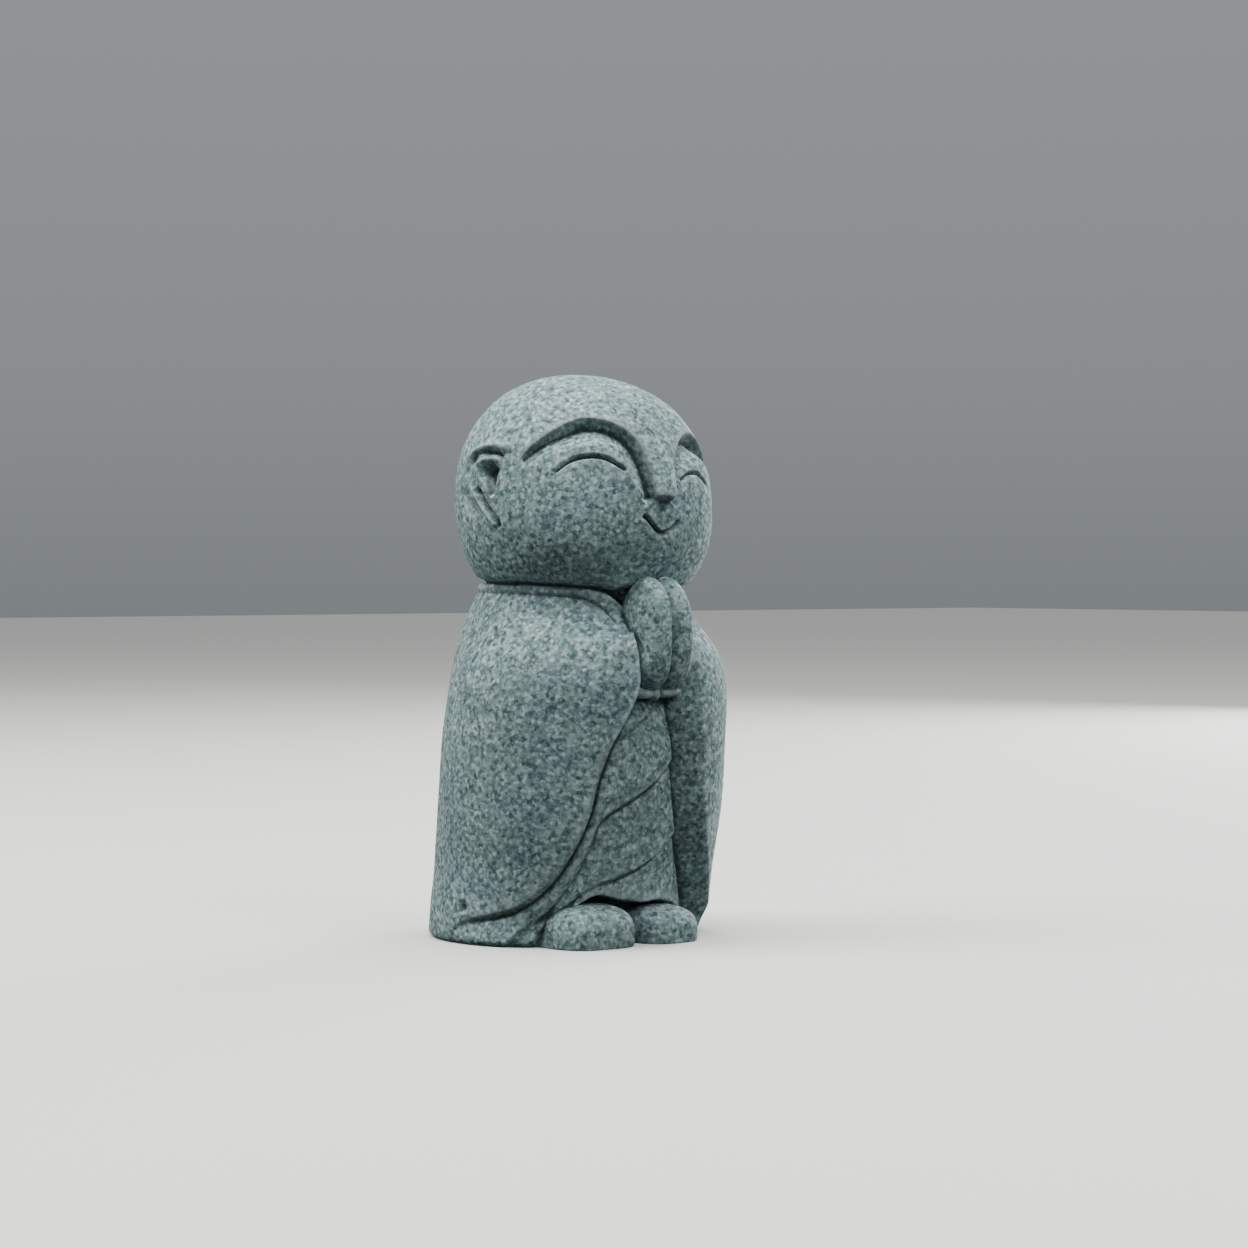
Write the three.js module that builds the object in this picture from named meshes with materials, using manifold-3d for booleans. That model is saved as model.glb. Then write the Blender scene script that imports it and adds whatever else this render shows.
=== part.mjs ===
// A small monk in prayer, cast in one piece from stone powder and resin, about 90 mm tall.
// He stands on his own flat underside, faces -Y, and has his right side towards -X.
import * as THREE from 'three';
import { mergeVertices } from 'three/addons/utils/BufferGeometryUtils.js';
import Module from 'manifold-3d';

const wasm = await Module();
wasm.setup();

// Driving sizes in millimetres.
const STATUE_HEIGHT = 90;
const ROBE_WIDTH = 46.6;
const ROBE_DEPTH = 41.4;
const HEAD_WIDTH = 41.2;
const HEAD_DEPTH = 41.2;
const HEAD_HEIGHT = 40.4;
const HEAD_ROLL = 5.5; // degrees that the head leans towards his left
const HAND_LENGTH = 19;
const HAND_THICKNESS = 5.1;
const HAND_OVERLAP = 0.5; // how far each hand reaches over the plane between both palms
const CUFF_LENGTH = 7.6;
const CUFF_WIDTH = 5.8;
const CUFF_THICKNESS = 1.8;
const FOOT_LENGTH = 18;
const RIGHT_FOOT_WIDTH = 14.6;
const RIGHT_FOOT_HEIGHT = 6.6;
const LEFT_FOOT_WIDTH = 12;
const LEFT_FOOT_HEIGHT = 5.6;
const EAR_RIDGE = 1.1; // how far the ear's rim stands out of the head
const BROW_DEPTH = 1.8; // how far the eye socket sinks below the brow
const CARVED_WIDTH = 1.0; // width of a carved line
const CARVED_DEPTH = 0.6; // depth of a carved line
const LAYER_STEP = 0.6; // thickness of one layer of cloth
const OPENING_DEPTH = 4.6; // depth of the opening of the cape at the hands
const BASE_ROUND = 1.2; // rounding around the foot of the robe
const HEM_DEPTH = 4; // how far the feet's hollow goes in under the hem
const COLLAR = 0.624; // height of the collar's rim, as a share

// Heights on the robe and the hands are shares of this height, at which the head's underside
// is at HEAD_SHARE. The robe so follows the head when either is resized.
const HEAD_SHARE = 0.5511;
const BODY_SCALE = (STATUE_HEIGHT - HEAD_HEIGHT) / HEAD_SHARE;

const lerp = THREE.MathUtils.lerp;
const smooth = THREE.MathUtils.smoothstep;
const radians = THREE.MathUtils.degToRad;

// Reads a smooth curve through points [x, y] as a function of x, with x rising.
function curveThrough(points) {
  const last = points.length - 1;
  const slopes = points.map((point, i) => {
    const before = points[Math.max(i - 1, 0)];
    const after = points[Math.min(i + 1, last)];
    return (after[1] - before[1]) / (after[0] - before[0]);
  });
  return (x) => {
    const clamped = THREE.MathUtils.clamp(x, points[0][0], points[last][0]);
    let i = 0;
    while (i < last - 1 && clamped > points[i + 1][0]) i += 1;
    const span = points[i + 1][0] - points[i][0];
    const t = (clamped - points[i][0]) / span;
    const rise = points[i + 1][1] - points[i][1];
    const bend = (1 - t) * (slopes[i] * span - rise) - t * (slopes[i + 1] * span - rise);
    return lerp(points[i][1], points[i + 1][1], t) + t * (1 - t) * bend;
  };
}

// Moves every vertex of a three.js geometry to the place that move(vertex) returns.
function reshape(geometry, move) {
  const positions = geometry.attributes.position;
  for (let i = 0; i < positions.count; i += 1) {
    const place = move(new THREE.Vector3().fromBufferAttribute(positions, i));
    positions.setXYZ(i, place.x, place.y, place.z);
  }
  return geometry;
}

// Turns a closed geometry into a solid that can be joined and cut, right side out.
function solid(geometry) {
  geometry.deleteAttribute('normal');
  geometry.deleteAttribute('uv');
  const closed = mergeVertices(geometry);
  const corners = closed.attributes.position;
  const triangles = Uint32Array.from(closed.index.array);
  const [a, b, c] = [new THREE.Vector3(), new THREE.Vector3(), new THREE.Vector3()];
  let volume = 0;
  for (let i = 0; i < triangles.length; i += 3) {
    a.fromBufferAttribute(corners, triangles[i]);
    b.fromBufferAttribute(corners, triangles[i + 1]);
    c.fromBufferAttribute(corners, triangles[i + 2]);
    volume += a.dot(b.cross(c));
  }
  if (volume < 0) triangles.reverse();
  const vertProperties = Float32Array.from(corners.array);
  return new wasm.Manifold(new wasm.Mesh({ numProp: 3, vertProperties, triVerts: triangles }));
}

// A closed bar along a path. corners(t) gives its outline as [across, lift] pairs, and
// place(t, across, lift) gives the point there, with t running from 0 to 1.
function bar(steps, corners, place) {
  const sides = corners(0).length;
  return solid(reshape(new THREE.CylinderGeometry(1, 1, 1, sides, steps), (v) => {
    const t = 0.5 - v.y;
    const outline = corners(t);
    const turn = Math.atan2(v.x, v.z) / (2 * Math.PI);
    const corner = outline[Math.round((turn + 1) * sides) % sides];
    const onAxis = Math.hypot(v.x, v.z) < 0.5;
    const across = onAxis ? outline.reduce((sum, p) => sum + p[0], 0) / sides : corner[0];
    const lift = onAxis ? outline.reduce((sum, p) => sum + p[1], 0) / sides : corner[1];
    return place(t, across, lift);
  }));
}

// The outline of a carved line: a V that gets shallow and narrow towards both ends.
function vGroove(width, depth, fade = 0.2) {
  return (t) => {
    const strength = smooth(t, -0.02, fade) * smooth(1 - t, -0.02, fade);
    const half = width / 2 * lerp(0.5, 1, strength);
    return [[-half, 0.35], [0, -depth * strength - 0.02], [half, 0.35]];
  };
}

// Outline of the bell of cloth: height, half width, half depth and centre towards the back.
// Heights are shares of BODY_SCALE, and the rest shares of the robe's half width and depth.
const ROBE_OUTLINE = [
  [0.000, 0.996, 0.976, 0.184],
  [0.060, 0.987, 0.976, 0.164],
  [0.117, 0.979, 0.986, 0.126],
  [0.231, 1.000, 0.995, 0.038],
  [0.360, 0.995, 1.000, -0.020],
  [0.445, 0.961, 0.995, -0.062],
  [0.490, 0.914, 0.986, -0.058],
  [0.520, 0.863, 0.971, -0.038],
  [0.550, 0.795, 0.920, 0.010],
  [0.575, 0.734, 0.862, 0.045],
  [0.600, 0.694, 0.805, 0.050],
  [COLLAR, 0.680, 0.780, 0.035],
  [COLLAR + 0.02, 0.670, 0.770, 0.030],
];
const robeHalfWidth = curveThrough(ROBE_OUTLINE.map((row) => [row[0], row[1] * ROBE_WIDTH / 2]));
const robeHalfDepth = curveThrough(ROBE_OUTLINE.map((row) => [row[0], row[2] * ROBE_DEPTH / 2]));
const robeCentre = curveThrough(ROBE_OUTLINE.map((row) => [row[0], row[3] * ROBE_DEPTH / 2]));
const ROBE_SQUARENESS = 2.15; // 2 would be an ellipse

// A point of the robe: angle in degrees from the front, positive towards his left.
function robePoint(angle, height, inset = 0) {
  const share = height / BODY_SCALE;
  const low = Math.max(0, 1 - Math.max(height, 0) / BASE_ROUND);
  const rounding = BASE_ROUND * (1 - Math.sqrt(1 - low * low));
  const corner = 1.8 * smooth(0.06 - share, 0, 0.06) * Math.exp(-(((angle - 56) / 16) ** 2));
  const sunk = inset + Math.min(rounding, 0.8 * BASE_ROUND) + corner;
  const halfWidth = robeHalfWidth(share) - sunk;
  const halfDepth = robeHalfDepth(share) - sunk;
  const x = Math.sin(radians(angle));
  const y = -Math.cos(radians(angle));
  const across = Math.abs(x / halfWidth) ** ROBE_SQUARENESS;
  const along = Math.abs(y / halfDepth) ** ROBE_SQUARENESS;
  const reach = (across + along) ** (-1 / ROBE_SQUARENESS);
  return new THREE.Vector3(x * reach, robeCentre(share) + y * reach, height);
}

const ROBE_TOP = (COLLAR + 0.003) * BODY_SCALE;
const ROBE_ROWS = 18;
let statue = solid(reshape(new THREE.CylinderGeometry(1, 1, 1, 40, ROBE_ROWS), (v) => {
  const row = (v.y + 0.5) * ROBE_ROWS;
  const height = row < 2 ? row * BASE_ROUND / 2 : lerp(BASE_ROUND, ROBE_TOP, (row - 2) / (ROBE_ROWS - 2));
  if (Math.hypot(v.x, v.z) < 0.5) return new THREE.Vector3(0, robeCentre(height / BODY_SCALE), height);
  return robePoint(THREE.MathUtils.radToDeg(Math.atan2(v.x, v.z)), height);
}));

// Edges that run over the robe: height share and angle. The cape's own edge starts under
// the chin, passes his right hand and sweeps down and round to the back.
const capeEdge = curveThrough([
  [-0.02, -93], [0.020, -90], [0.041, -82], [0.062, -62.6], [0.102, -49], [0.164, -39.3],
  [0.232, -33.3], [0.289, -30.6], [0.343, -25.8], [0.390, -19.5], [0.448, -13.6], [0.500, -13.0],
  [0.533, -12.3], [0.566, -10.4], [0.593, -11.5], [0.610, -15.5], [0.624, -21], [0.640, -28],
]);
const wrapEdge = curveThrough([
  [-0.02, -68], [0.029, -56.8], [0.065, -46.5], [0.122, -37.1], [0.175, -31.5], [0.215, -28.5],
  [0.238, -21], [0.262, -7.8], [0.290, 6], [0.335, 22],
]);
const underEdge = curveThrough([
  [-0.02, -58], [0.046, -45.4], [0.080, -37], [0.104, -27], [0.119, -13.5], [0.136, 0],
  [0.164, 15.2], [0.205, 34],
]);

// The left sleeve hangs straight down as a panel. This is the foot of its inner side, where
// it meets the robe, and its front edge.
const sleeveFoot = curveThrough([
  [-0.02, 59], [0.000, 57], [0.050, 50], [0.101, 41], [0.176, 29], [0.249, 21.4], [0.356, 15.3],
  [0.420, 11], [0.500, 13], [0.600, 20], [0.640, 27],
]);
const sleeveEdge = curveThrough([
  [-0.02, 59.5], [0.000, 57.5], [0.060, 52.5], [0.118, 44.6], [0.194, 34.2], [0.285, 27.9],
  [0.356, 25.2], [0.426, 22.3], [0.510, 21.2], [0.560, 26], [0.600, 32], [0.640, 38],
]);

// How deep the cloth between the cape's edge and the left sleeve lies, at its right and left.
const depthAtCape = curveThrough([
  [-0.02, 0.15], [0.020, 0.25], [0.060, 0.8], [0.100, 1.0], [0.343, 1.0], [0.385, 2.2],
  [0.440, OPENING_DEPTH], [0.560, OPENING_DEPTH], [0.640, 2.8],
]);
const depthAtSleeve = curveThrough([
  [-0.02, 2.8], [0.100, 3.2], [0.356, 3.6], [0.440, OPENING_DEPTH], [0.560, OPENING_DEPTH], [0.640, 2.8],
]);
function clothDepth(angle, height) {
  const share = height / BODY_SCALE;
  const from = Math.min(capeEdge(share), sleeveFoot(share) - 20);
  const side = THREE.MathUtils.clamp((angle + 40) / (sleeveFoot(share) + 40), 0, 1);
  return from < 90 ? lerp(depthAtCape(share), depthAtSleeve(share), side ** 1.5) : 0;
}

// Cuts away the cloth between an edge and the left sleeve, from height top down, to a depth.
function openBetween(edge, top, rows, columns, extraDepth) {
  return solid(reshape(new THREE.BoxGeometry(1, 1, 1, columns, rows, 1), (v) => {
    const rise = v.y + 0.5 - 0.08 * Math.sin(2 * Math.PI * (v.y + 0.5));
    const height = lerp(-0.9, top * BODY_SCALE, rise);
    const share = height / BODY_SCALE;
    const side = v.x + 0.5;
    const angle = lerp(edge(share), sleeveFoot(share), side);
    const floor = robePoint(angle, height, clothDepth(angle, height) + extraDepth);
    if (v.z < 0) return floor;
    const skin = robePoint(lerp(edge(share), sleeveEdge(share), side), height);
    const outward = skin.clone().sub(floor).normalize();
    return skin.addScaledVector(outward, 3);
  }));
}
statue = statue.subtract(openBetween(capeEdge, 0.66, 22, 10, 0));
statue = statue.subtract(openBetween(wrapEdge, 0.325, 12, 6, LAYER_STEP));
statue = statue.subtract(openBetween(underEdge, 0.200, 8, 6, 2 * LAYER_STEP));

// The hem of the robe arches over both feet: height share by angle.
const hemHeight = curveThrough([
  [-54, -0.01], [-46.3, 0.034], [-35.3, 0.068], [-25, 0.087], [-10, 0.078], [5, 0.071],
  [18, 0.072], [31, 0.064], [43, 0.045], [50, 0.03],
]);
statue = statue.subtract(solid(reshape(new THREE.BoxGeometry(1, 1, 1, 16, 2, 1), (v) => {
  const angle = lerp(-54, 50, v.x + 0.5);
  const height = lerp(-1, hemHeight(angle) * BODY_SCALE, v.y + 0.5);
  const recess = lerp(0.9, HEM_DEPTH, smooth(angle, -40, -24));
  const inset = clothDepth(angle, Math.max(height, 0)) + 2 * LAYER_STEP + recess;
  return robePoint(angle, height, v.z > 0 ? -4 : inset);
})));

const FOOT_SQUARENESS = 3;

// The tips of both feet, flat on the ground, come out from under the hem. Each is a rounded
// box: width, height, and middle as a share of the robe's width.
for (const [width, height, middle] of [
  [RIGHT_FOOT_WIDTH, RIGHT_FOOT_HEIGHT, -0.176],
  [LEFT_FOOT_WIDTH, LEFT_FOOT_HEIGHT, 0.118],
]) {
  const instep = height / 4;
  statue = statue.add(solid(reshape(new THREE.IcosahedronGeometry(1, 3), (v) => {
    const sum = Math.abs(v.x) ** FOOT_SQUARENESS + Math.abs(v.y) ** FOOT_SQUARENESS
      + Math.abs(v.z) ** FOOT_SQUARENESS;
    const size = sum ** (1 / FOOT_SQUARENESS);
    const x = middle * ROBE_WIDTH + v.x / size * width / 2;
    const y = -0.227 * ROBE_DEPTH + v.y / size * FOOT_LENGTH / 2;
    const z = instep + v.z / size * (height - instep);
    return new THREE.Vector3(x, y, Math.max(z, 0));
  })));
}

// Two hands laid palm to palm, each a mitten with a rounded tip, and the cuff at each wrist.
// Their front and back are shares of the robe's half depth.
const HAND_MIDDLE = 0.536 * BODY_SCALE;
const handFront = curveThrough([
  [-1, -0.966], [-0.75, -1.063], [-0.5, -1.126], [0, -1.174], [0.5, -1.164], [0.8, -1.13], [1, -1.092],
]);
const handBack = curveThrough([[-1, -0.652], [0.4, -0.652], [1, -0.749]]);
const handThickness = curveThrough([[-1, 0.88], [-0.4, 1], [0.1, 0.98], [0.7, 0.93], [1, 0.88]]);
for (const side of [-1, 1]) {
  statue = statue.add(solid(reshape(new THREE.IcosahedronGeometry(1, 3), (v) => {
    const level = (Math.abs(v.x) ** 3 + Math.abs(v.y) ** 3) ** (1 / 3);
    const blunt = level > 0 ? Math.sqrt(Math.max(1 - v.z ** 4, 0)) / level : 0;
    const half = handThickness(v.z) * HAND_THICKNESS / 2;
    const front = handFront(v.z) * ROBE_DEPTH / 2;
    const back = handBack(v.z) * ROBE_DEPTH / 2;
    const x = side * (half - HAND_OVERLAP) + v.x * blunt * half;
    const y = (front + back) / 2 + v.y * blunt * (back - front) / 2;
    return new THREE.Vector3(x, y, HAND_MIDDLE + v.z * HAND_LENGTH / 2);
  })));
  statue = statue.add(solid(reshape(new THREE.IcosahedronGeometry(1, 2), (v) => new THREE.Vector3(
    side * (HAND_THICKNESS / 2 - HAND_OVERLAP) + v.x * CUFF_WIDTH / 2,
    -0.836 * ROBE_DEPTH / 2 + v.y * CUFF_LENGTH / 2,
    0.441 * BODY_SCALE + v.z * CUFF_THICKNESS / 2 + 0.2 * v.x * CUFF_WIDTH / 2,
  ))));
}

// The head is a rounded ball, fuller at the cheeks, that leans a little to his left.
const CROWN_SQUARENESS = 2.2; // 2 would be an ellipsoid
const JAW_SQUARENESS = 2.25;
const headCentre = new THREE.Vector3(0, 0, STATUE_HEIGHT - HEAD_HEIGHT / 2);
const headTurn = new THREE.Matrix4().makeRotationY(radians(HEAD_ROLL));

// A point of the head in its own frame, lifted off the skin.
function headPoint(direction, lift = 0) {
  const d = direction.clone().normalize();
  const squareness = lerp(CROWN_SQUARENESS, JAW_SQUARENESS, smooth(-d.z, -0.2, 0.5));
  const round = Math.hypot(d.x / (HEAD_WIDTH / 2), d.y / (HEAD_DEPTH / 2)) ** squareness;
  const tall = Math.abs(d.z / (HEAD_HEIGHT / 2)) ** squareness;
  const reach = (round + tall) ** (-1 / squareness);
  const cheek = Math.exp(-((Math.abs(d.x) - 0.62) ** 2 + (d.y + 0.72) ** 2 + (d.z + 0.28) ** 2) / 0.12);
  const point = d.multiplyScalar(reach + lift + 0.5 * cheek);
  point.y += 0.05 * point.z;
  return point;
}

// A direction from the head's centre: angle round from the face, and angle up, in degrees.
function headDirection(around, up) {
  const turn = radians(around);
  const level = Math.cos(radians(up));
  return new THREE.Vector3(Math.sin(turn) * level, -Math.cos(turn) * level, Math.sin(radians(up)));
}

function onStatue(point) {
  return point.applyMatrix4(headTurn).add(headCentre);
}

// Places a bar along a path of the head, given as around and up by t.
function alongHead(path) {
  return (t, across, lift) => {
    const here = headPoint(path(t));
    const tangent = headPoint(path(t + 0.01)).sub(headPoint(path(t - 0.01))).normalize();
    const sideways = tangent.cross(here.clone().normalize());
    return onStatue(headPoint(here.addScaledVector(sideways, across), lift));
  };
}

// A path over the head through points [around, up], on his left side or mirrored to his right.
function headPath(points, side = 1) {
  const line = new THREE.SplineCurve(points.map((p) => new THREE.Vector2(p[0], p[1])));
  const start = line.getPoint(0);
  const end = line.getPoint(1);
  return (t) => {
    const p = line.getPoint(THREE.MathUtils.clamp(t, 0, 1));
    if (t < 0) p.add(start.clone().sub(line.getPoint(0.01)).multiplyScalar(-t * 100));
    if (t > 1) p.add(end.clone().sub(line.getPoint(0.99)).multiplyScalar((t - 1) * 100));
    return headDirection(side * p.x, p.y);
  };
}

let head = solid(reshape(new THREE.IcosahedronGeometry(1, 7), (v) => onStatue(headPoint(v))));

const BROW = [
  [68, 11], [64.2, 16], [57, 23], [50.5, 27.8], [42, 32.5], [31.8, 33.8], [22.2, 31.8],
  [15.2, 27.8], [10.2, 22], [7.8, 16.5], [6, 10.5], [4.6, 4.5], [3.8, 0.8],
];
const RIGHT_EYE = [
  [50.8, 6.4], [45.2, 11.4], [39.8, 14.2], [33.2, 15.6], [27.5, 15.1], [22.5, 13], [17.2, 10.4],
];
const LEFT_EYE = [[12, 9.2], [15, 11.2], [18, 13], [21.5, 14], [25, 14], [29, 13], [36, 10]];
const EAR_RIM = [
  [72, 15.5], [77, 17.3], [83, 17.5], [89, 16.6], [95, 14.5], [99.5, 11], [100, 7], [97, 2.8],
  [92, -1.4], [86.5, -7], [82, -10.5], [78, -14], [75.5, -16],
];
const EAR_FOLD = [[96, 11.5], [91, 15], [83, 15.5], [75, 13]];
const EAR_HOLLOW = [[80.5, 11], [81, 7.5], [80.3, 2.5], [80, -3]];
const LOBE_LINE = [[92.5, 0], [88, -3], [84.5, -7], [80, -10], [75, -14]];

for (const side of [-1, 1]) {
  // The brow overhangs its socket: steep on the outside, and running out towards the cheek.
  head = head.subtract(bar(13, (t) => {
    const strength = smooth(t, -0.03, 0.3);
    const depth = BROW_DEPTH * lerp(0.25, 1, strength) * lerp(1, 0.65, smooth(t, 0.75, 1));
    const width = lerp(2.2, 5.6, strength) * lerp(1, 0.55, smooth(t, 0.6, 1));
    return [
      [0, 0.8], [-side * 0.2, -depth], [-side * 0.9, -depth], [-side * width * 0.6, -0.3 * depth],
      [-side * width, 0.06], [-side * width, 0.8],
    ];
  }, alongHead(headPath(BROW, side))));
  head = head.subtract(bar(8, vGroove(1.0, 0.8), alongHead(headPath(side < 0 ? RIGHT_EYE : LEFT_EYE, side))));
  // The ear is a rim that ends in a long lobe, round a hollow.
  head = head.add(bar(11, (t) => {
    const rise = EAR_RIDGE * smooth(t, -0.1, 0.15) * smooth(1 - t, -0.15, 0.2);
    return [[-1.5, -0.5], [-0.7, rise], [0.7, rise], [1.5, -0.5]];
  }, alongHead(headPath(EAR_RIM, side))));
  head = head.subtract(bar(5, (t) => {
    const open = smooth(t, -0.15, 0.2) * lerp(1, 0.25, t);
    return [[-2.1 * open, 0.9], [-1.3 * open, -1.5 * open], [1.3 * open, -1.5 * open], [2.1 * open, 0.9]];
  }, alongHead(headPath(EAR_HOLLOW, side))));
  head = head.subtract(bar(4, vGroove(0.9, 0.7), alongHead(headPath(EAR_FOLD, side))));
  head = head.subtract(bar(4, vGroove(0.9, 0.7), alongHead(headPath(LOBE_LINE, side))));
}

// The nose is what the two sockets leave, with a small rounded tip added.
head = head.add(solid(reshape(new THREE.IcosahedronGeometry(1, 3), (v) => {
  const tip = headPoint(headDirection(0.6, 2.5));
  const tall = v.z > 0 ? 5.5 : 1.6;
  return onStatue(tip.add(new THREE.Vector3(1.8 * v.x, 0.2 + 1.5 * v.y, tall * v.z)));
})));
const MOUTH = [
  [-9.5, -8], [-7, -9.2], [-4.5, -11.2], [-2, -13.2], [0.8, -14.6], [3.4, -14.4], [6, -13],
  [8.6, -10.6], [11.5, -8],
];
head = head.subtract(bar(10, vGroove(1.0, 0.85, 0.15), alongHead(headPath(MOUTH))));
statue = statue.add(head);

// Places a bar along a path of the robe, given as [angle, height share, inset] by t.
function alongRobe(path) {
  const at = (t) => {
    const [angle, share, inset] = path(t);
    return robePoint(angle, share * BODY_SCALE, inset);
  };
  return (t, across, lift) => {
    const here = at(t);
    const tangent = at(t + 0.01).sub(at(t - 0.01)).normalize();
    const outward = new THREE.Vector3(here.x, here.y - robeCentre(here.z / BODY_SCALE), 0).normalize();
    const sideways = tangent.cross(outward).normalize();
    return here.addScaledVector(sideways, across).addScaledVector(outward, lift);
  };
}

// A line at the foot of each edge of cloth, and the crease that runs in under the hands.
function edgePath(edge, bottom, top, extraDepth) {
  return (t) => {
    const share = lerp(bottom, top, t);
    const angle = edge(share) + 0.8;
    return [angle, share, clothDepth(angle, share * BODY_SCALE) + extraDepth];
  };
}
const line = vGroove(CARVED_WIDTH, CARVED_DEPTH, 0.12);
statue = statue.subtract(bar(14, line, alongRobe(edgePath(capeEdge, 0.04, 0.37, 0))));
statue = statue.subtract(bar(12, line, alongRobe(edgePath(wrapEdge, 0.02, 0.322, LAYER_STEP))));
statue = statue.subtract(bar(9, line, alongRobe(edgePath(underEdge, 0.03, 0.198, 2 * LAYER_STEP))));
const creaseHeight = curveThrough([[-24, 0.350], [-16.4, 0.368], [-8, 0.387], [1, 0.402]]);
statue = statue.subtract(bar(5, vGroove(0.8, 0.45), alongRobe((t) => {
  const angle = lerp(-23, 0, t);
  return [angle, creaseHeight(angle), clothDepth(angle, creaseHeight(angle) * BODY_SCALE)];
})));

// The band of the collar: a line below the rim that turns down along each front edge.
const bandHeight = curveThrough([
  [18, 0.560], [21, 0.583], [28, 0.599], [38, 0.605], [60, 0.606], [181, 0.606],
]);
for (const side of [-1, 1]) {
  const turned = side < 0 ? 0 : sleeveEdge(0.58) + capeEdge(0.58);
  statue = statue.subtract(bar(11, vGroove(0.8, 0.4, 0.1), alongRobe((t) => {
    const angle = 18.5 + 162.5 * Math.max(1 - t, 0) ** 1.6;
    return [side * (angle + turned * (1 - angle / 181)), bandHeight(angle), 0];
  })));
}

// Two soft folds down the back, and a small pit that the casting left near the foot.
for (const side of [-1, 1]) {
  statue = statue.subtract(bar(5, vGroove(2.4, 0.5, 0.4), alongRobe((t) => [
    side * lerp(152, 128, t * t),
    lerp(0.52, 0.13, t),
    0,
  ])));
}
const pit = robePoint(-84, 0.067 * BODY_SCALE);
statue = statue.subtract(solid(new THREE.IcosahedronGeometry(0.8, 0).translate(pit.x, pit.y, pit.z)));

// The line under the head, where it sits in the collar, a little lower at the front.
statue = statue.subtract(solid(reshape(new THREE.TorusGeometry(1, 0.1, 3, 32), (v) => {
  const angle = THREE.MathUtils.radToDeg(Math.atan2(v.x, -v.y));
  const height = (COLLAR + 0.003 - 0.009 * Math.exp(-((angle / 45) ** 2))) * BODY_SCALE;
  const ring = robePoint(angle, height, 0.1);
  const outward = new THREE.Vector3(v.x, v.y, 0).normalize();
  ring.addScaledVector(outward, (Math.hypot(v.x, v.y) - 1) * 13);
  ring.z += v.z * 5;
  return ring;
})));

const mesh = statue.getMesh();
const geometry = new THREE.BufferGeometry();
geometry.setAttribute('position', new THREE.BufferAttribute(new Float32Array(mesh.vertProperties), 3));
geometry.setIndex(new THREE.BufferAttribute(new Uint32Array(mesh.triVerts), 1));
geometry.computeVertexNormals();

const castStone = new THREE.MeshStandardMaterial({ color: 0x6f8080, roughness: 0.92, metalness: 0 });
const monk = new THREE.Mesh(geometry, castStone);
monk.name = 'monk_statue';

const part = new THREE.Group();
part.name = 'monk';
part.add(monk);

export default part;
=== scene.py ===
# A small monk in prayer, 90 mm tall, cast in one piece from stone powder and resin.
# It faces -Y, its right hand side is towards -X, and it stands on its own flat underside.
import math

import bmesh
import bpy
import numpy as np
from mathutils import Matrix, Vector, noise


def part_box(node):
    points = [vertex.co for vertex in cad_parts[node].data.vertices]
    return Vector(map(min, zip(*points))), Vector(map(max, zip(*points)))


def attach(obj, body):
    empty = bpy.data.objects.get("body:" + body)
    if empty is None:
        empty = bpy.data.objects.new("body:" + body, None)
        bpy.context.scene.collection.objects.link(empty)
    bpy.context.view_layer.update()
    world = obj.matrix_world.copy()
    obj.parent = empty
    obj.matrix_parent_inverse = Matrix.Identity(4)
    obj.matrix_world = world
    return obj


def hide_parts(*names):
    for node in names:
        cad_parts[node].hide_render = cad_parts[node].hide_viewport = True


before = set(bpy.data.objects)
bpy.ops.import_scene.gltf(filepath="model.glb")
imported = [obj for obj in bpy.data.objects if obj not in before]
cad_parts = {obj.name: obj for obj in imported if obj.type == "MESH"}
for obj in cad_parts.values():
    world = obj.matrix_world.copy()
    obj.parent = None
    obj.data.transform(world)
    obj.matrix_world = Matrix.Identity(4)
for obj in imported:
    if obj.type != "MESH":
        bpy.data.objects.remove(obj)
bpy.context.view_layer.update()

# The robe. A long cape falls round the whole figure like a bell. Its right front edge crosses
# over and sweeps down to the back, and the left sleeve hangs as a straight panel. On the real
# piece it is carved in the master and comes out of the mould in one casting with the head.
MM = 0.001  # the carving is worked out in millimetres
STATUE_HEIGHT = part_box("monk_statue")[1].z / MM
ROBE_WIDTH = 46.6
ROBE_DEPTH = 41.4
ROBE_SQUARENESS = 2.15  # 2 would be an ellipse
COLLAR = 0.624  # height of the collar's rim, as a share of the statue
BASE_ROUND = 1.2  # rounding around the foot of the robe
LAYER_STEP = 0.6  # thickness of one layer of cloth
OPENING_DEPTH = 4.6  # depth of the cape's opening at the hands
HEM_DEPTH = 4.0  # how far the feet's hollow goes in under the hem
LINE_WIDTH = 0.44  # half width of a carved line
LINE_DEPTH = 0.58  # depth of a carved line
CREASE_DEPTH = 0.6  # depth of the short crease under the hands
FOOT_LINE_DEPTH = 0.45  # depth of the line along the foot of the sleeve's inner side
ROLL_WIDTH = 0.85  # half width of the rolled fold under the cape's edge
ROLL_HEIGHT = 0.42
ROLL_DISTANCE = 1.7  # from the cape's edge to the middle of the roll
SLEEVE_FRONT = 56  # angle of the sleeve's front corner, which is drawn in at the ground
HEM_ENDS = (-54, 50)  # angles between which the hem arches
BAND_CORNER = 18.5  # angle at which the collar's band turns down
BAND_END = 181  # the two halves of the band meet just past the middle of the back
BAND_WIDTH = 0.36
BAND_DEPTH = 0.50
BACK_FOLDS = ((152, 128, 0.55), (118, 100, 0.3))  # angle above, angle below, depth
HEM_THICKNESS = 0.12
PIT_DEPTH = 0.5
PIT_RADIUS = 0.8
RIM_ROUND = 0.45


def smooth(x, low, high):
    """Eases from 0 at low to 1 at high."""
    t = np.clip((x - low) / (high - low), 0, 1)
    return t * t * (3 - 2 * t)


def blend(a, b, t):
    return a + (b - a) * t


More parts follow.
